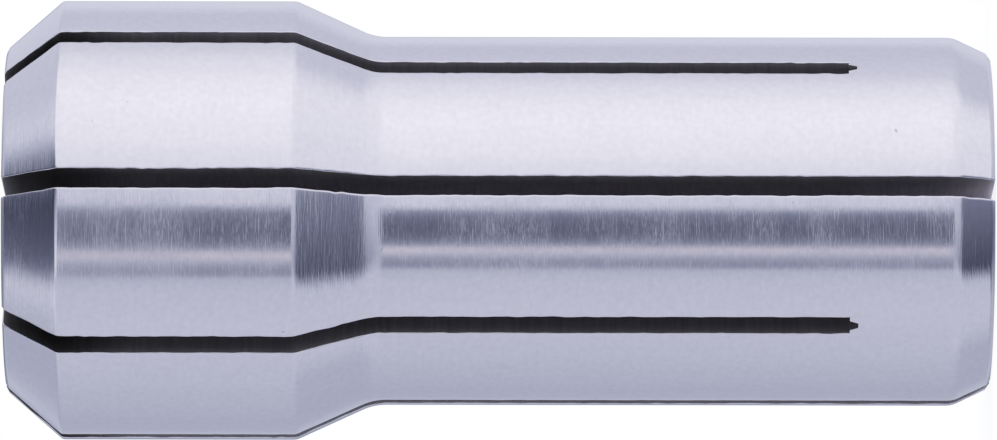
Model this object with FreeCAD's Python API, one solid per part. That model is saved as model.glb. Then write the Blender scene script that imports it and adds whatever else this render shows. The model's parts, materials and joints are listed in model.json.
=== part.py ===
import FreeCAD, Part
import math
import os

# Double-taper collet, one piece of hardened and ground steel.
# All sizes are in millimetres. It stands on its rear face at z = 0 with the nose up, and its
# axis is +Z. Radial slits part it into fingers, which stay joined by a ring at the rear. Every
# second slit, the one on the -Y side among them, runs the whole length, and crosses that ring
# down to a thin web round the bore.

# The whole piece
overall_length = 30.65
bore_diameter = 3.0
bore_mouth_chamfer = 0.25

# The body and the short taper at its rear end
body_diameter = 11.5
rear_taper_length = 1.16
rear_taper_angle = 25.4
rear_taper_blend_radius = 1.6
rear_face_edge_break = 0.12

# The shoulder: the taper that rises from the body to the nose
shoulder_rise = 1.1
shoulder_angle = 24.5
shoulder_edge_radius = 0.45
shoulder_root_radius = 1.8

# The nose: a cylindrical land, then a steep bevel at the front face
nose_length = 9.04
nose_bevel_length = 1.74
nose_bevel_angle = 41.0
nose_bevel_edge_radius = 0.25
nose_face_edge_break = 0.08

# The slits: a blind one ends square, with a narrower tip cut on towards the rear face
slit_count = 8
slit_width = 0.6
slit_end_height = 4.47
slit_tip_length = 0.26
slit_tip_root_share = 0.57
slit_tip_end_share = 0.27
first_slit_direction = -90.0
rear_web_thickness = 0.55

# How far a cutter stands out of the steel, and the most of a straight run that a rounding takes
cutter_overrun = 1.0
largest_rounding_share = 0.45

bore_radius = bore_diameter / 2
bore_mouth_radius = bore_radius + bore_mouth_chamfer
body_radius = body_diameter / 2
nose_radius = body_radius + shoulder_rise


def steepness(angle):
    """Radius that a taper at this angle to the axis gains for each millimetre along the axis."""
    return math.tan(math.radians(angle))


def rear_corners():
    """Corners of the rear face, its broken edge and its taper, from the bore outwards."""
    slope = steepness(rear_taper_angle)
    face_radius = body_radius - rear_taper_length * slope
    return [
        (bore_mouth_radius, 0, 0),
        (face_radius - rear_face_edge_break, 0, 0),
        (face_radius + rear_face_edge_break * slope, rear_face_edge_break, 0),
        (body_radius, rear_taper_length, rear_taper_blend_radius),
    ]


def shoulder_corners():
    """Root and upper edge of the shoulder."""
    top = overall_length - nose_length
    root = top - shoulder_rise / steepness(shoulder_angle)
    return [
        (body_radius, root, shoulder_root_radius),
        (nose_radius, top, shoulder_edge_radius),
    ]


def nose_corners():
    """Corners of the nose bevel, the broken edge and the front face, inwards to the bore."""
    slope = steepness(nose_bevel_angle)
    face_radius = nose_radius - nose_bevel_length * slope
    broken_radius = face_radius + nose_face_edge_break * slope
    return [
        (nose_radius, overall_length - nose_bevel_length, nose_bevel_edge_radius),
        (broken_radius, overall_length - nose_face_edge_break, 0),
        (face_radius - nose_face_edge_break, overall_length, 0),
        (bore_mouth_radius, overall_length, 0),
    ]


def section_corners():
    """Corners of the half section, each as radius, height and the radius that rounds it."""
    bore_line = [
        (bore_radius, overall_length - bore_mouth_chamfer, 0),
        (bore_radius, bore_mouth_chamfer, 0),
    ]
    return rear_corners() + shoulder_corners() + nose_corners() + bore_line


def rounded_corner(before, corner, after, rounding):
    """Start, middle and end of the arc that rounds a corner, or the bare corner three times."""
    if rounding == 0:
        return corner, corner, corner
    back = before - corner
    ahead = after - corner
    half_angle = back.getAngle(ahead) / 2
    tangent = rounding / math.tan(half_angle)
    tangent = min(tangent, largest_rounding_share * min(back.Length, ahead.Length))
    radius = tangent * math.tan(half_angle)
    back.normalize()
    ahead.normalize()
    inward = (back + ahead).normalize()
    centre = corner + inward * (radius / math.sin(half_angle))
    return corner + back * tangent, centre - inward * radius, corner + ahead * tangent


def rounded_wire(corners):
    """Closed wire in the XZ plane of straight runs, with tangent arcs at the rounded corners."""
    points = [FreeCAD.Vector(radius, 0, height) for radius, height, rounding in corners]
    turns = []
    for index, (radius, height, rounding) in enumerate(corners):
        before = points[index - 1]
        after = points[(index + 1) % len(points)]
        turns.append(rounded_corner(before, points[index], after, rounding))
    edges = []
    for index, (start, middle, end) in enumerate(turns):
        last_end = turns[index - 1][2]
        edges.append(Part.makeLine(last_end, start))
        if corners[index][2] > 0:
            edges.append(Part.Arc(start, middle, end).toShape())
    return Part.Wire(edges)


def slit_direction(index):
    """Angle of a slit about the axis, from +X. The even ones run the full length."""
    return first_slit_direction + index * 360 / slit_count


def turned_blank():
    """The bored and ground blank, swept in as many sectors as there are slits.

    The sectors meet where the slits are cut, so only the rear ring keeps their seams.
    """
    sweep = 360 / slit_count
    sectors = []
    for index in range(slit_count):
        section = Part.Face(rounded_wire(section_corners()))
        section.rotate(FreeCAD.Vector(0, 0, 0), FreeCAD.Vector(0, 0, 1), slit_direction(index))
        sectors.append(section.revolve(FreeCAD.Vector(0, 0, 0), FreeCAD.Vector(0, 0, 1), sweep))
    return sectors[0].fuse(sectors[1:])


def mirrored_outline(half):
    """Closed outline, as points across and up, from the points of its right half."""
    left_half = [(-across, height) for across, height in reversed(half)]
    return half + left_half


def radial_cutter(outline, direction, inner_radius):
    """Solid that cuts a slit: its outline carried straight out, from this far off the axis."""
    points = [FreeCAD.Vector(inner_radius, across, height) for across, height in outline]
    face = Part.Face(Part.makePolygon(points + points[:1]))
    cutter = face.extrude(FreeCAD.Vector(nose_radius + cutter_overrun - inner_radius, 0, 0))
    cutter.rotate(FreeCAD.Vector(0, 0, 0), FreeCAD.Vector(0, 0, 1), direction)
    return cutter


def straight_outline(foot):
    """Outline of a slit from this height out past the nose."""
    half_width = slit_width / 2
    return mirrored_outline([(half_width, foot), (half_width, overall_length + cutter_overrun)])


def full_slit_cutters(direction):
    """Both cuts of a full-length slit: right to the bore in front, and to the web at the rear."""
    web_radius = bore_radius + rear_web_thickness
    return [
        radial_cutter(straight_outline(slit_end_height), direction, 0),
        radial_cutter(straight_outline(-cutter_overrun), direction, web_radius),
    ]


def blind_slit_cutter(direction):
    """Slit that is open at the nose and ends in a tapered tip above the rear face."""
    half_width = slit_width / 2
    half = [
        (half_width * slit_tip_end_share, slit_end_height - slit_tip_length),
        (half_width * slit_tip_root_share, slit_end_height),
        (half_width, slit_end_height),
        (half_width, overall_length + cutter_overrun),
    ]
    return radial_cutter(mirrored_outline(half), direction, 0)


def make_collet():
    """The blank with its slits cut at even angles, full-length and blind by turns."""
    cutters = []
    for index in range(0, slit_count, 2):
        cutters += full_slit_cutters(slit_direction(index))
        cutters.append(blind_slit_cutter(slit_direction(index + 1)))
    return turned_blank().cut(cutters).Solids[0]


os.makedirs("parts", exist_ok=True)
collet = make_collet()
collet.exportStep("parts/collet.step")
print("volume in cubic millimetres:", round(collet.Volume, 2))
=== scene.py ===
import json
import math

import bpy
import numpy as np
from mathutils import Matrix, Vector


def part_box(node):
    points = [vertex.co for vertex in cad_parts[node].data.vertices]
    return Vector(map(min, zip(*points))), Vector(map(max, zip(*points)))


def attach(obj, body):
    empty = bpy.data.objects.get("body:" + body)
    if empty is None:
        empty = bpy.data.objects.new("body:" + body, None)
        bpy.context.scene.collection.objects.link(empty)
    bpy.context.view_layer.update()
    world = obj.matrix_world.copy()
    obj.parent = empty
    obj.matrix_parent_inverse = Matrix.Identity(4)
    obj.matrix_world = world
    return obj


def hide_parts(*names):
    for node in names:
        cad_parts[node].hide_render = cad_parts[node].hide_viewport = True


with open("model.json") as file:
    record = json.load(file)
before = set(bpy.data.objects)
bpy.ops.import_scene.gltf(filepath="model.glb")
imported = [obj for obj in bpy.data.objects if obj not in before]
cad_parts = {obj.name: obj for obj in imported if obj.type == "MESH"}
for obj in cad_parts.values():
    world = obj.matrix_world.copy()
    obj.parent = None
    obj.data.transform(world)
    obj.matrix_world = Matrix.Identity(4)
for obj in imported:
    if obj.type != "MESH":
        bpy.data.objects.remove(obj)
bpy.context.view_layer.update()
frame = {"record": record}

# A ground steel collet. It stands on its rear face, and the photograph shows it lying on its
# side, nose to the left, so the camera is level and rolled a quarter turn.

millimetre = 0.001


# Shader maths

class Term:
    # One output of a node, so that maths on it reads as an expression
    def __init__(self, graph, socket):
        self.graph = graph
        self.socket = socket

    def maths(self, operation, *others):
        values = dict(enumerate((self,) + others))
        return self.graph.node("ShaderNodeMath", {"operation": operation}, values)

    def __add__(self, other):
        return self.maths("ADD", other)

    def __sub__(self, other):
        return self.maths("SUBTRACT", other)

    def __rsub__(self, other):
        return (self * -1) + other

    def __mul__(self, other):
        return self.maths("MULTIPLY", other)

    def __truediv__(self, other):
        return self.maths("DIVIDE", other)

    __radd__ = __add__
    __rmul__ = __mul__


class Graph:
    # The nodes of one material or of the world
    def __init__(self, owner):
        owner.use_nodes = True
        self.tree = owner.node_tree
        self.tree.nodes.clear()

    def node(self, kind, settings=None, values=None, output=0):
        made = self.tree.nodes.new(kind)
        for name, setting in (settings or {}).items():
            if name == "stops":
                self.setStops(made.color_ramp, setting)
            else:
                setattr(made, name, setting)
        for name, value in (values or {}).items():
            if isinstance(value, Term):
                self.tree.links.new(value.socket, made.inputs[name])
            else:
                made.inputs[name].default_value = value
        return Term(self, made.outputs[output])

    def setStops(self, ramp, stops):
        while len(ramp.elements) < len(stops):
            ramp.elements.new(1.0)
        for element, (place, level) in zip(ramp.elements, stops):
            element.position = place
            element.color = level if isinstance(level, tuple) else (level, level, level, 1.0)

    def step(self, value, low, high):
        # 0 below low, 1 above high, and a smooth rise between them
        return self.node("ShaderNodeMapRange", {"interpolation_type": "SMOOTHSTEP"},
                         {"Value": value, "From Min": low, "From Max": high})

    def blend(self, amount, first, second):
        # first where amount is 0, second where it is 1
        return first + (second - first) * amount

    def mixColour(self, amount, first, second):
        return self.node("ShaderNodeMix", {"data_type": "RGBA"},
                         {"Factor": amount, 6: first, 7: second}, 2)

    def noise(self, place, rate, detail=2.0, roughness=0.5):
        return self.node("ShaderNodeTexNoise", None,
                         {"Vector": place, "Scale": rate, "Detail": detail,
                          "Roughness": roughness})

    def parts(self, vector):
        return [self.node("ShaderNodeSeparateXYZ", None, {0: vector}, axis) for axis in range(3)]

    def joined(self, x, y, z):
        return self.node("ShaderNodeCombineXYZ", None, {0: x, 1: y, 2: z})

    def finish(self, kind, shader):
        end = self.tree.nodes.new(kind)
        self.tree.links.new(shader.socket, end.inputs["Surface"])


# The camera

cameraPlace = {
    "turn": -11.0,           # degrees from the side of the full slit
    "distance": 0.359,       # metres from the axis
    "lens": 414.6,           # millimetres, and so is the sensor
    "sensor": 36.0,
    "nearest": 0.01,         # metres to the nearest thing that it shows
    "height": 0.015317,      # metres up the axis that the middle of the picture shows
    "lift": 0.000019,        # metres from the axis to the middle of the picture
    "roll": 0.1,             # degrees that the axis dips to the right
}

turn = math.radians(cameraPlace["turn"])
towardsCamera = Vector((math.sin(turn), -math.cos(turn), 0))
pictureUp = Vector((math.cos(turn), math.sin(turn), 0))
axisUp = Vector((0, 0, 1))


def makeCamera():
    # Right, up and back of the camera are the columns of its turn, with the nose to the left
    roll = math.radians(cameraPlace["roll"])
    right = pictureUp * math.sin(roll) - axisUp * math.cos(roll)
    up = pictureUp * math.cos(roll) + axisUp * math.sin(roll)
    middle = axisUp * cameraPlace["height"] + pictureUp * cameraPlace["lift"]
    place = middle + towardsCamera * cameraPlace["distance"]
    data = bpy.data.cameras.new("camera")
    data.lens = cameraPlace["lens"]
    data.sensor_width = cameraPlace["sensor"]
    data.clip_start = cameraPlace["nearest"]
    camera = bpy.data.objects.new("camera", data)
    turned = Matrix((right, up, towardsCamera)).transposed().to_4x4()
    camera.matrix_world = Matrix.Translation(place) @ turned
    bpy.context.collection.objects.link(camera)
    bpy.context.scene.camera = camera


# The studio

studio = {
    # Light by the angle above the plane through the camera and the axis, in degrees, on the
    # camera's side and behind: a large soft light above, a pale table below, and between them
    # the dark opening that the camera looks through
    "fan": [(-90, 0.485), (-57, 0.524), (-38, 0.495), (-33, 0.455), (-30.1, 0.43), (-29.3, 0.29),
            (-27.5, 0.235), (-25, 0.265), (-22.5, 0.335), (-20, 0.485), (-17.6, 0.56),
            (-16.2, 0.44), (-15, 0.285), (-13.7, 0.215), (-11.2, 0.14), (-8.7, 0.115),
            (-5, 0.10), (-1, 0.115), (2.6, 0.15), (5, 0.20), (6.6, 0.30), (7.6, 0.50),
            (9, 0.60), (15, 0.62), (26, 0.69), (36, 0.735), (42, 0.79), (64, 0.85),
            (76, 0.82), (83, 0.784), (90, 0.73)],
    "backFan": [(-90, 0.485), (-77, 0.46), (-60, 0.43), (-48, 0.40), (-34, 0.385), (-27, 0.42),
                (-20, 0.44), (-9, 0.20), (2, 0.20), (10, 0.46), (26, 0.545), (34, 0.535),
                (40, 0.505), (51, 0.53), (75, 0.606), (83, 0.655), (90, 0.73)],
    # How far towards the camera the fan starts to give way to backFan, and where it is gone
    "frontToBack": (0.17, -0.25),
    # The opening beside the camera, by the angle along the axis, towards the nose above 0
    "opening": [(-90, 0.097), (-47, 0.118), (-40, 0.36), (-14, 0.43), (-6, 0.36), (6, 0.36),
                (14, 0.43), (60, 0.36), (74, 0.054), (90, 0.049)],
    # Each edge's height, its rise towards the nose, its blur, and the gain of that to the nose
    "openingTop": (0.34, 0.065, 0.12, 0.0),
    "openingFoot": (-0.409, 0.057, 0.085, 0.03),
    # Its light halfway up, and what that gains upwards: towards the rear and towards the nose
    "openingLean": (1.12, -1.9, -3.5),
    "leanChange": (0.2, 0.8),        # how far to the nose the second gain takes over
    # Beside the opening the fan is mixed with a plain light. It is brighter towards the nose.
    "table": (0.52, 0.36),           # plain light, and its gain to the nose
    "tableRise": (0.7, 0.95),        # where that gain sets in and is full
    "tableShare": 0.75,
    "lamp": (0.68, 0.17),            # the same above the opening
    "lampShare": 0.5,
    "core": (0.075, 0.16),    # how far along the axis the fan alone reaches, and where it's gone
    "steel": 0.62,            # share of the light that the steel gives back
    # Tint of the light by its level, from dim to bright
    "tint": [(0.0, (0.88, 0.98, 1.45, 1.0)), (0.15, (0.905, 0.98, 1.386, 1.0)),
             (0.27, (0.93, 0.985, 1.23, 1.0)), (0.5, (0.975, 0.985, 1.12, 1.0)),
             (0.8, (1.007, 0.988, 1.0, 1.0))],
    # A warmer strip of the table: degrees where it sets in and fades out, and its tint
    "warmStrip": [(-90, 0.0), (-21.5, 0.0), (-19, 1.0), (-16.8, 1.0), (-15, 0.0), (90, 0.0)],
    "warmTint": (1.0, 0.945, 1.03, 1.0),
    "floorWhite": 1.14,      # its own light, as the camera sees it
    "floorColour": (0.9, 0.9, 0.9, 1),
    "floorDiffuse": 0.25,    # share of it that takes a shadow
    "floorSize": 1.7,        # metres from the middle to the edge
    "floorDepth": 0.02,      # millimetres below the rear face
}


def makeWorld():
    world = bpy.data.worlds.new("studio")
    bpy.context.scene.world = world
    graph = Graph(world)
    direction = graph.node("ShaderNodeTexCoord", output="Generated")

    def along(axis):
        return graph.node("ShaderNodeVectorMath", {"operation": "DOT_PRODUCT"},
                          {0: direction, 1: tuple(axis)}, "Value")

    def angleRamp(sine, levels):
        # Light by the angle whose sine this is, over a ramp from -90 to 90 degrees
        stops = [(0.5 + angle / 180.0, level) for angle, level in levels]
        place = sine.maths("ARCSINE") / math.pi + 0.5
        return graph.node("ShaderNodeValToRGB", {"stops": stops}, {0: place})

    front, up, nose = along(towardsCamera), along(pictureUp), along(axisUp)
    behind = graph.step(front, *studio["frontToBack"])
    fan = graph.blend(behind, angleRamp(up, studio["fan"]), angleRamp(up, studio["backFan"]))
    opening = angleRamp(nose, studio["opening"])

    def above(edge):
        # 0 below an edge of the opening and 1 above it
        height, rise, blur, softening = edge
        return graph.step((up - (nose * rise + height)) / (nose * softening + blur), -1, 1)

    halfway, rearLean, noseLean = studio["openingLean"]
    lean = graph.blend(graph.step(nose, *studio["leanChange"]), rearLean, noseLean)
    opening = opening * (nose * up * lean + halfway)
    plain, gain = studio["table"]
    table = graph.step(nose, *studio["tableRise"]) * gain + plain
    table = graph.blend(studio["tableShare"], fan, table)
    plain, gain = studio["lamp"]
    lamp = graph.blend(studio["lampShare"], fan, graph.step(nose, 0, 1) * gain + plain)
    broad = graph.blend(above(studio["openingFoot"]), table, opening)
    broad = graph.blend(above(studio["openingTop"]), broad, lamp)
    aside = graph.step(nose.maths("ABSOLUTE"), *studio["core"]) * (1 - behind)
    level = graph.blend(aside, fan, broad)
    tint = graph.node("ShaderNodeValToRGB", {"stops": studio["tint"]}, {0: level})
    warm = angleRamp(up, studio["warmStrip"]) * (1 - aside) * (1 - behind)
    tint = graph.mixColour(warm, tint, studio["warmTint"])
    level = level / studio["steel"]
    room = graph.node("ShaderNodeBackground", None, {"Color": tint, "Strength": level})
    white = graph.node("ShaderNodeBackground", None, {"Color": (1, 1, 1, 1), "Strength": 1.0})
    seen = graph.node("ShaderNodeLightPath", output="Is Camera Ray")
    both = graph.node("ShaderNodeMixShader", None, {0: seen, 1: room, 2: white})
    graph.finish("ShaderNodeOutputWorld", both)


def makeFloor():
    # A square's corners: -1 or 1 both ways, times how far it reaches. From below it is clear.
    reach = studio["floorSize"]
    corners = np.array([(-1, -1, 0), (1, -1, 0), (1, 1, 0), (-1, 1, 0)]) * reach
    corners[:, 2] = -studio["floorDepth"] * millimetre
    mesh = bpy.data.meshes.new("floor")
    mesh.from_pydata(corners.tolist(), [], [(0, 1, 2, 3)])
    floor = bpy.data.objects.new("floor", mesh)
    bpy.context.collection.objects.link(floor)
    floor.visible_glossy = False
    floor.visible_shadow = False

    material = bpy.data.materials.new("paleFloor")
    graph = Graph(material)
    seen = graph.node("ShaderNodeLightPath", output="Is Camera Ray")
    glow = graph.node("ShaderNodeEmission", None,
                      {"Color": (1, 1, 1, 1), "Strength": seen * studio["floorWhite"]})
    matt = graph.node("ShaderNodeBsdfDiffuse", None, {"Color": studio["floorColour"]})
    pale = graph.node("ShaderNodeMixShader", None, {0: studio["floorDiffuse"], 1: glow, 2: matt})
    below = graph.node("ShaderNodeNewGeometry", output="Backfacing")
    clear = graph.node("ShaderNodeBsdfTransparent")
    graph.finish("ShaderNodeOutputMaterial",
                 graph.node("ShaderNodeMixShader", None, {0: below, 1: pale, 2: clear}))
    mesh.materials.append(material)


# The collet

record = frame["record"]
mounts = {mount["name"]: mount for mount in record["mounts"]}
lowCorner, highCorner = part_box("collet")
overallLength = (highCorner.z - lowCorner.z) / millimetre

colletShape = {
    # The turned form, in millimetres and degrees
    "rearTaperLength": 1.16,
    "rearTaperAngle": 25.4,
    "rearTaperBlend": 0.8,
    "rearEdgeBreak": 0.12,
    "shoulderRise": 1.1,
    "shoulderAngle": 24.5,
    "shoulderEdge": 0.45,
    "shoulderRoot": 1.8,
    "noseLength": 9.04,
    "bevelLength": 1.74,
    "bevelAngle": 41.0,
    "bevelEdge": 0.18,
    "noseEdgeBreak": 0.08,
    # Every second slit, from the first, runs the full length, but behind the blind ones' ends
    # it stops at a web round the bore
    "slits": 8,
    "rearWeb": 0.55,
    "firstSlit": -90.0,
    "slitHalfWidth": 0.3,
    "slitEnd": 4.47,
    "slitTip": 0.26,
    "tipRootShare": 0.57,
    "tipEndShare": 0.27,
    # The saw's and the stone's marks on the slits' edges
    "edgeRound": 0.016,
    "edgeRoundWaver": 0.010,
    "edgeRoundLeast": 0.006,
    "wallWaver": 0.008,
    "waverPitch": 0.22,
    "seed": 11,
    # Spacing of the mesh
    "rowStep": 0.2,
    "breakGuard": 0.03,
    "arcPoints": 9,
    "edgeTurns": (0, 30, 60, 90),    # degrees round a slit's rounded edge
    "edgeSteps": (0.05, 0.25),       # from that edge to the columns next to it
    "fingerColumns": 13,
    "least": 0.001,                  # heights nearer than this count as the same
    "thinnestWeb": 0.05,             # the web's level keeps this far from the bore's
    "sharpAngle": 33.0,              # an edge that turns more than this is drawn sharp
}

boreRadius = mounts["grip_bore"]["dims"]["r_mm"]
boreChamfer = (overallLength - mounts["grip_bore"]["dims"]["length_mm"]) / 2
bodyRadius = mounts["body"]["dims"]["r_mm"]
# Where each level lies on the way from the web's radius to the skin. The first is moved on to
# the bore, and the second stays at the web.
levelShares = np.array([0.0, 0.0, 0.06, 0.35, 0.65, 0.95, 1.0])
webLevel = 1


def slope(angle):
    return math.tan(math.radians(angle))


def arcAt(before, corner, after, rounding):
    # Arc tangent to both sides of a corner. Its centre lies on the bisector, rounding / sin of
    # half the corner's angle from it, and its points turn evenly from one side to the other.
    back = (before - corner) / np.linalg.norm(before - corner)
    ahead = (after - corner) / np.linalg.norm(after - corner)
    half = math.acos(float(back @ ahead)) / 2
    middle = corner + (back + ahead) / np.linalg.norm(back + ahead) * rounding / math.sin(half)
    start = corner + back * rounding / math.tan(half) - middle
    end = corner + ahead * rounding / math.tan(half) - middle
    bend = math.pi - 2 * half
    part = np.linspace(0, 1, colletShape["arcPoints"])[:, None]
    swung = np.sin((1 - part) * bend) * start + np.sin(part * bend) * end
    return middle + swung / math.sin(bend)


def turnedProfile():
    # Radius and height of the skin, rear to nose: straight runs with an arc at each round corner
    shape = colletShape
    rearRise = slope(shape["rearTaperAngle"])
    rearRadius = bodyRadius - shape["rearTaperLength"] * rearRise
    noseRadius = bodyRadius + shape["shoulderRise"]
    shoulderTop = overallLength - shape["noseLength"]
    shoulderFoot = shoulderTop - shape["shoulderRise"] / slope(shape["shoulderAngle"])
    bevelFall = slope(shape["bevelAngle"])
    faceRadius = noseRadius - shape["bevelLength"] * bevelFall
    corners = np.array([
        (rearRadius - shape["rearEdgeBreak"], 0),
        (rearRadius + shape["rearEdgeBreak"] * rearRise, shape["rearEdgeBreak"]),
        (bodyRadius, shape["rearTaperLength"]),
        (bodyRadius, shoulderFoot),
        (noseRadius, shoulderTop),
        (noseRadius, overallLength - shape["bevelLength"]),
        (faceRadius + shape["noseEdgeBreak"] * bevelFall, overallLength - shape["noseEdgeBreak"]),
        (faceRadius - shape["noseEdgeBreak"], overallLength),
    ])
    roundings = [0, 0, shape["rearTaperBlend"], shape["shoulderRoot"], shape["shoulderEdge"],
                 shape["bevelEdge"], 0, 0]
    runs = []
    for index, rounding in enumerate(roundings):
        if rounding:
            runs.append(arcAt(*corners[index - 1:index + 2], rounding))
        else:
            runs.append(corners[index:index + 1])
    return np.concatenate(runs).T


def rowHeights(profileHeights):
    # Every height at which the form turns, with even steps between them, and a row close to
    # each end's edge break, so that the smooth shading of the break stays narrow
    shape = colletShape
    tipFoot = shape["slitEnd"] - shape["slitTip"]
    rearGuard = shape["rearEdgeBreak"] + shape["breakGuard"]
    noseGuard = overallLength - shape["noseEdgeBreak"] - shape["breakGuard"]
    needed = [boreChamfer, overallLength - boreChamfer, tipFoot, shape["slitEnd"], rearGuard,
              noseGuard]
    turns = np.unique(np.round(np.concatenate([profileHeights, needed]), 6))
    counts = np.ceil(np.diff(turns) / shape["rowStep"]).astype(int)
    runs = [np.linspace(a, b, n, endpoint=False) for a, b, n in zip(turns, turns[1:], counts)]
    return np.concatenate(runs + [turns[-1:]])


def waver(heights, size, draw):
    # Random values at even knots along the axis, joined by straight runs, for each slit's side
    knots = np.arange(-1.0, overallLength + 1.0, colletShape["waverPitch"])
    values = draw.normal(0, size, (colletShape["slits"], 2, len(knots)))
    place = (heights + 1.0) / colletShape["waverPitch"]
    low = np.clip(place.astype(int), 0, len(knots) - 2)
    part = np.clip(place - low, 0, 1)
    mixed = values[:, :, low] * (1 - part) + values[:, :, low + 1] * part
    return mixed.transpose(2, 0, 1)


def colletLattice():
    # Points at every row, slit, column and level. A column beside a slit lies at a set distance
    # across from the slit's middle plane, so its angle is the slit's plus arcsine of distance /
    # radius. The columns between two slits share out the angle that is left. A quarter circle
    # rounds each edge: distance grows by round * (1 - cos t) while the skin's fall shrinks to
    # round * (1 - sin t). A level lies at web + share * (skin - fall - web).
    shape = colletShape
    profileRadii, profileHeights = turnedProfile()
    heights = rowHeights(profileHeights)
    skin = np.interp(heights, profileHeights, profileRadii)
    mouth = [0, boreChamfer, overallLength - boreChamfer, overallLength]
    bore = boreRadius + np.interp(heights, mouth, [boreChamfer, 0, 0, boreChamfer])
    draw = np.random.default_rng(shape["seed"])
    rows, slits, middle = len(heights), shape["slits"], shape["fingerColumns"]
    rounds = np.abs(shape["edgeRound"] + waver(heights, shape["edgeRoundWaver"], draw))
    rounds = rounds + shape["edgeRoundLeast"]
    halves = shape["slitHalfWidth"] + waver(heights, shape["wallWaver"], draw)
    cut = np.ones((rows, slits, 1, 1))               # 0 on the rows that a slit doesn't reach
    cut[heights < shape["slitEnd"] - shape["least"], 1::2] = 0

    turns, steps = np.radians(shape["edgeTurns"]), np.array(shape["edgeSteps"])
    edge = len(turns)
    beside = edge + len(steps)                       # columns on each side of a slit
    across = np.zeros((rows, slits, 2, beside))
    drop = np.zeros((rows, slits, 2, beside))
    across[..., :edge] = halves[..., None] + rounds[..., None] * (1 - np.cos(turns))
    drop[..., :edge] = rounds[..., None] * (1 - np.sin(turns)) * cut
    across[..., edge:] = across[..., edge - 1:edge] + steps

    tipFoot = shape["slitEnd"] - shape["slitTip"]
    tipShare = np.interp(heights, [tipFoot, shape["slitEnd"]],
                         [shape["tipEndShare"], shape["tipRootShare"]])
    tip = np.repeat((tipShare * shape["slitHalfWidth"])[:, None], slits, 1)

    # Column order in a sector: slit middle, its tip, those beside the slit, the finger's, those
    # beside the next slit, that slit's tip
    near = 2 + beside
    far = near + middle
    columns = far + beside + 1
    offset = np.zeros((rows, slits, columns))
    fall = np.zeros((rows, slits, columns))
    offset[..., 1] = tip
    offset[..., 2:near] = across[:, :, 1]
    fall[..., 2:near] = drop[:, :, 1]
    offset[..., far:-1] = -np.roll(across[:, :, 0], -1, 1)[..., ::-1]
    fall[..., far:-1] = np.roll(drop[:, :, 0], -1, 1)[..., ::-1]
    offset[..., -1] = -tip

    web = np.maximum(boreRadius + shape["rearWeb"], bore + shape["thinnestWeb"])[:, None, None]
    radius = web[..., None] + levelShares * (skin[:, None, None] - fall - web)[..., None]
    radius[..., 0] = bore[:, None, None]
    pitch = 2 * math.pi / slits
    base = math.radians(shape["firstSlit"]) + pitch * np.arange(slits)
    own = np.arange(columns) < near
    centre = np.where(own, base[:, None], base[:, None] + pitch)
    angle = centre[None, :, :, None] + np.arcsin(offset[..., None] / radius)
    share = (np.arange(1, middle + 1) / (middle + 1))[:, None]
    left, right = angle[:, :, near - 1:near], angle[:, :, far:far + 1]
    angle[:, :, near:far] = left + (right - left) * share

    height = np.broadcast_to(heights[:, None, None, None], angle.shape).copy()
    height[-1] -= fall[-1][..., None]
    height[0, ..., webLevel + 1:] += fall[0][..., None]
    points = np.stack([radius * np.cos(angle), radius * np.sin(angle), height], -1)
    return points.reshape(rows, slits * columns, len(levelShares), 3), heights, columns


def steelCells(heights, columns):
    # Which cells between the lattice's rows, columns and levels hold steel
    shape = colletShape
    middles = (heights[1:] + heights[:-1]) / 2
    wide = middles > shape["slitEnd"]
    narrow = middles > shape["slitEnd"] - shape["slitTip"]
    steel = np.ones((len(middles), shape["slits"], columns, len(levelShares) - 1), bool)
    steel[narrow, 1::2, 0] = False                   # blind slits
    steel[narrow, 0::2, columns - 1] = False
    steel[wide, 1::2, 1] = False
    steel[wide, 0::2, columns - 2] = False
    steel[:, 0::2, :2, webLevel:] = False            # full slits
    steel[:, 1::2, columns - 2:, webLevel:] = False
    steel[wide, 0::2, :2] = False
    steel[wide, 1::2, columns - 2:] = False
    return steel.reshape(len(middles), -1, len(levelShares) - 1)


def skinFaces(steel, pointShape):
    # A face wherever a steel cell meets an empty one, turned to look out of the steel. Faces
    # across the rows, the columns and the levels are found in turn, by comparing each cell
    # with its neighbour.
    rows, columns, levels = pointShape
    numbers = np.arange(rows * columns * levels).reshape(rows, columns, levels)
    empty = np.zeros_like(steel[:1])
    byRow = np.concatenate([empty, steel, empty])
    side = np.zeros_like(steel[:, :, :1])
    byLevel = np.concatenate([side, steel, side], 2)
    byColumn = np.concatenate([steel[:, -1:], steel], 1)
    ahead = np.roll(numbers, -1, 1)
    rowQuads = np.stack([numbers[:, :, :-1], numbers[:, :, 1:], ahead[:, :, 1:],
                         ahead[:, :, :-1]], -1)
    levelQuads = np.stack([numbers[:-1], ahead[:-1], ahead[1:], numbers[1:]], -1)
    columnQuads = np.stack([numbers[:-1, :, :-1], numbers[1:, :, :-1], numbers[1:, :, 1:],
                            numbers[:-1, :, 1:]], -1)
    quads, finishes = [], []

    def collect(candidates, before, after, finish):
        sides = (before & ~after, candidates), (after & ~before, candidates[..., ::-1])
        for mask, faces in sides:
            quads.append(faces[mask])
            finishes.append(np.broadcast_to(finish, mask.shape)[mask])

    ground, sawn, honed = 0, 1, 2
    rowFinish = np.full(rows, sawn)
    rowFinish[[0, -1]] = ground
    collect(rowQuads, byRow[:-1], byRow[1:], rowFinish[:, None, None])
    levelFinish = np.full(levels, ground)
    levelFinish[0] = honed
    levelFinish[webLevel] = sawn
    collect(levelQuads, byLevel[:, :, :-1], byLevel[:, :, 1:], levelFinish)
    collect(columnQuads, byColumn[:, :-1], byColumn[:, 1:], sawn)
    return np.concatenate(quads), np.concatenate(finishes)


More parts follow.
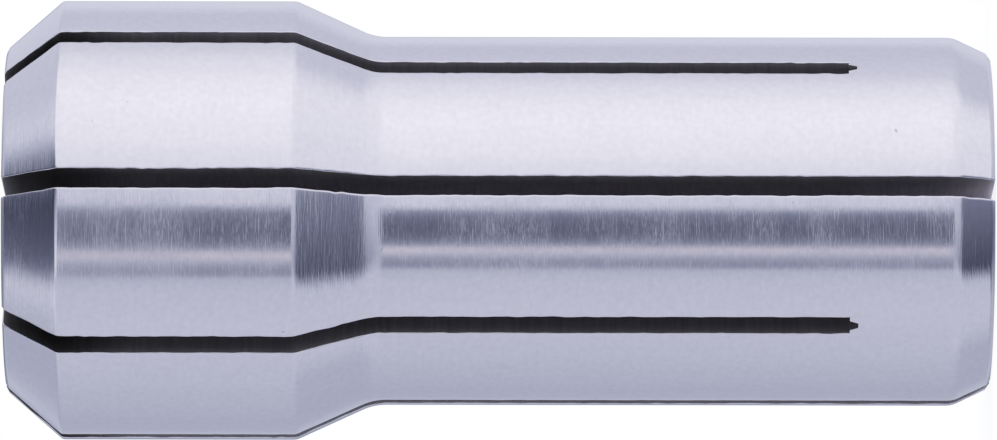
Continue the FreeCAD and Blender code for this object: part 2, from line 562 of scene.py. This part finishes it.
def makeCollet(materials):
    points, heights, columns = colletLattice()
    quads, finishes = skinFaces(steelCells(heights, columns), points.shape[:3])
    used, corners = np.unique(quads, return_inverse=True)
    places = points.reshape(-1, 3)[used] * millimetre + (0, 0, lowCorner.z)
    mesh = bpy.data.meshes.new("collet_steel")
    mesh.vertices.add(len(used))
    mesh.vertices.foreach_set("co", places.astype(np.float32).ravel())
    mesh.loops.add(corners.size)
    mesh.loops.foreach_set("vertex_index", corners.ravel().astype(np.int32))
    mesh.polygons.add(len(quads))
    mesh.polygons.foreach_set("loop_start", np.arange(0, corners.size, 4, dtype=np.int32))
    mesh.update(calc_edges=True)
    for material in materials:
        mesh.materials.append(material)
    mesh.polygons.foreach_set("material_index", finishes.astype(np.int32))
    mesh.polygons.foreach_set("use_smooth", np.ones(len(quads), bool))
    mesh.set_sharp_from_angle(angle=math.radians(colletShape["sharpAngle"]))
    mesh.validate()
    piece = bpy.data.objects.new("collet_steel", mesh)
    bpy.context.collection.objects.link(piece)
    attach(piece, "root")
    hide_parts("collet")
    print("collet:", len(heights), "rows,", len(quads) * 2, "triangles")


# The steel finishes

groundFinish = {
    "colour": (0.62, 0.62, 0.68, 1.0),
    "tone": 0.97,
    "roughness": 0.105,
    "brushing": 0.7,             # how much wider the gloss spreads along the axis
    "brushingTurn": 0.25,        # of a whole turn, from the tangent to the axis
    # Fine and broad grinding lines: how many to a metre of the axis, and how quickly one fades
    # round the axis
    "lines": 24000.0,
    "lineRun": 1500.0,
    "lineGrain": 0.6,
    "lineTone": 0.05,
    "lineDepth": 0.0000042,      # metres
    "lineTilt": 0.5,             # how far they climb with the radius, on tapers and end faces
    "broadLines": 5200.0,
    "broadRun": 420.0,
    "broadHeight": 1.1,          # as a share of the fine lines' height
    "cloudRate": 5200.0,
    "cloudTone": 0.14,
    # Bands where the lines are deep and where they are worn
    "wearRate": 800.0,
    "wearRun": 260.0,
    "wearEdges": (0.35, 0.7),
    "wearGloss": 0.03,
    "wearHeight": (0.7, 0.5),    # height of the lines between the bands, and the gain in them
    "noseWear": (0.0225, 0.0288, 0.0289),   # rougher from here, most here, not on the bevel
    "noseGain": 0.045,
    "pitRate": 3400.0,
    "pitShare": 0.14,
    "pitBlur": 0.06,
    "pitGloss": 0.3,
    "pitTone": 0.35,
    "pitDepth": 2.0,             # as a share of the fine lines' height
}


def groundSteel():
    finish = groundFinish
    material = bpy.data.materials.new("groundSteel")
    graph = Graph(material)
    place = graph.node("ShaderNodeTexCoord", output="Object")
    x, y, z = graph.parts(place)
    radius = (x * x + y * y).maths("SQRT")
    along = z - radius * finish["lineTilt"]

    def lines(run, rate):
        stretched = graph.joined(x * run, y * run, along * rate)
        return graph.noise(stretched, 1.0, 2.0, finish["lineGrain"])

    fine = lines(finish["lineRun"], finish["lines"]) - 0.5
    broad = lines(finish["broadRun"], finish["broadLines"]) - 0.5
    cloud = graph.noise(place, finish["cloudRate"], 3.0) - 0.5
    wear = graph.step(lines(finish["wearRun"], finish["wearRate"]), *finish["wearEdges"])
    pits = graph.step(graph.noise(place, finish["pitRate"], 1.0),
                      finish["pitShare"] + finish["pitBlur"], finish["pitShare"])
    start, most, end = finish["noseWear"]
    worn = graph.step(z, start, most) - graph.step(z, most, end)
    roughness = (finish["roughness"] + wear * finish["wearGloss"] + pits * finish["pitGloss"]
                 + worn * finish["noseGain"])
    tone = (finish["tone"] + cloud * finish["cloudTone"] + fine * finish["lineTone"]
            - pits * finish["pitTone"])
    colour = graph.node("ShaderNodeVectorMath", {"operation": "SCALE"},
                        {0: finish["colour"][:3], "Scale": tone})
    least, gain = finish["wearHeight"]
    ridges = (fine + broad * finish["broadHeight"]) * (least + wear * gain)
    bump = graph.node("ShaderNodeBump", None,
                      {"Strength": 1.0, "Distance": finish["lineDepth"],
                       "Height": ridges - pits * finish["pitDepth"]})
    steel = graph.node("ShaderNodeBsdfPrincipled", None,
                       {"Base Color": colour, "Metallic": 1.0, "Roughness": roughness,
                        "Anisotropic": finish["brushing"],
                        "Anisotropic Rotation": finish["brushingTurn"], "Normal": bump})
    graph.finish("ShaderNodeOutputMaterial", steel)
    return material


# The slit walls' sawn finish, with painted shade and painted light in their colour
wallFinishAndPaintedShade = {
    "colour": (0.465, 0.446, 0.475, 1.0),
    "roughness": 0.5,
    "metal": 0.88,
    "sawLines": 9000.0,          # to a metre of the axis
    "sawRun": 500.0,             # how quickly one fades towards the axis
    "sawDepth": 0.000004,        # metres
    "sawTone": (0.7, 0.6),       # tone of the darkest marks, and the gain to the lightest
    "sawGloss": 0.1,
    "noseShade": (0.0262, 0.0295, 0.85),    # painted shade, dark towards the nose: heights and the share lost
    "mouthShade": (0.0030, 0.0060, 0.8),    # painted shade, dark towards the slit's mouth: radii and the loss
    "noseMouth": (0.0192, 0.0216, 0.0011),  # heights over which the skin rises, and its rise, so that the painted shade follows the depth below the skin
    "deepTone": 1.45,            # painted light: tone at the foot of the slit, before that loss
}


def sawnSteel():
    finish = wallFinishAndPaintedShade
    material = bpy.data.materials.new("sawnSteel")
    graph = Graph(material)
    place = graph.node("ShaderNodeTexCoord", output="Object")
    x, y, z = graph.parts(place)
    run = finish["sawRun"]
    marks = graph.noise(graph.joined(x * run, y * run, z * finish["sawLines"]), 1.0, 2.0)
    # Painted shade: the walls' colour darkens towards the nose face
    low, high, lost = finish["noseShade"]
    shade = 1 - graph.step(z, low, high) * lost
    # Painted light and shade by depth below the skin: the colour is lighter at the slit's foot
    # and darker towards its mouth
    low, high, rise = finish["noseMouth"]
    radius = (x * x + y * y).maths("SQRT") - graph.step(z, low, high) * rise
    low, high, lost = finish["mouthShade"]
    shade = shade * (finish["deepTone"] - graph.step(radius, low, high) * lost)
    darkest, gain = finish["sawTone"]
    colour = graph.node("ShaderNodeVectorMath", {"operation": "SCALE"},
                        {0: finish["colour"][:3], "Scale": (darkest + marks * gain) * shade})
    bump = graph.node("ShaderNodeBump", None,
                      {"Strength": 1.0, "Distance": finish["sawDepth"], "Height": marks})
    steel = graph.node("ShaderNodeBsdfPrincipled", None,
                       {"Base Color": colour, "Metallic": finish["metal"],
                        "Roughness": finish["roughness"] + marks * finish["sawGloss"],
                        "Normal": bump})
    graph.finish("ShaderNodeOutputMaterial", steel)
    return material


boreFinish = {
    "colour": (0.60, 0.59, 0.62, 1.0),
    "roughness": 0.32,
    "honeLines": 6000.0,         # to a metre of the axis
    "honeRun": 300.0,
    "honeGloss": 0.2,
}


def honedSteel():
    finish = boreFinish
    material = bpy.data.materials.new("honedSteel")
    graph = Graph(material)
    place = graph.node("ShaderNodeTexCoord", output="Object")
    x, y, z = graph.parts(place)
    run = finish["honeRun"]
    marks = graph.noise(graph.joined(x * run, y * run, z * finish["honeLines"]), 1.0, 2.0)
    roughness = finish["roughness"] + (marks - 0.5) * finish["honeGloss"]
    steel = graph.node("ShaderNodeBsdfPrincipled", None,
                       {"Base Color": finish["colour"], "Metallic": 1.0,
                        "Roughness": roughness})
    graph.finish("ShaderNodeOutputMaterial", steel)
    return material


# Putting it together

bpy.context.scene.view_settings.view_transform = "Standard"
makeCamera()
makeWorld()
makeFloor()
print("studio: camera, world and floor")
makeCollet([groundSteel(), sawnSteel(), honedSteel()])
print("finishes: ground skin, sawn slits, honed bore")
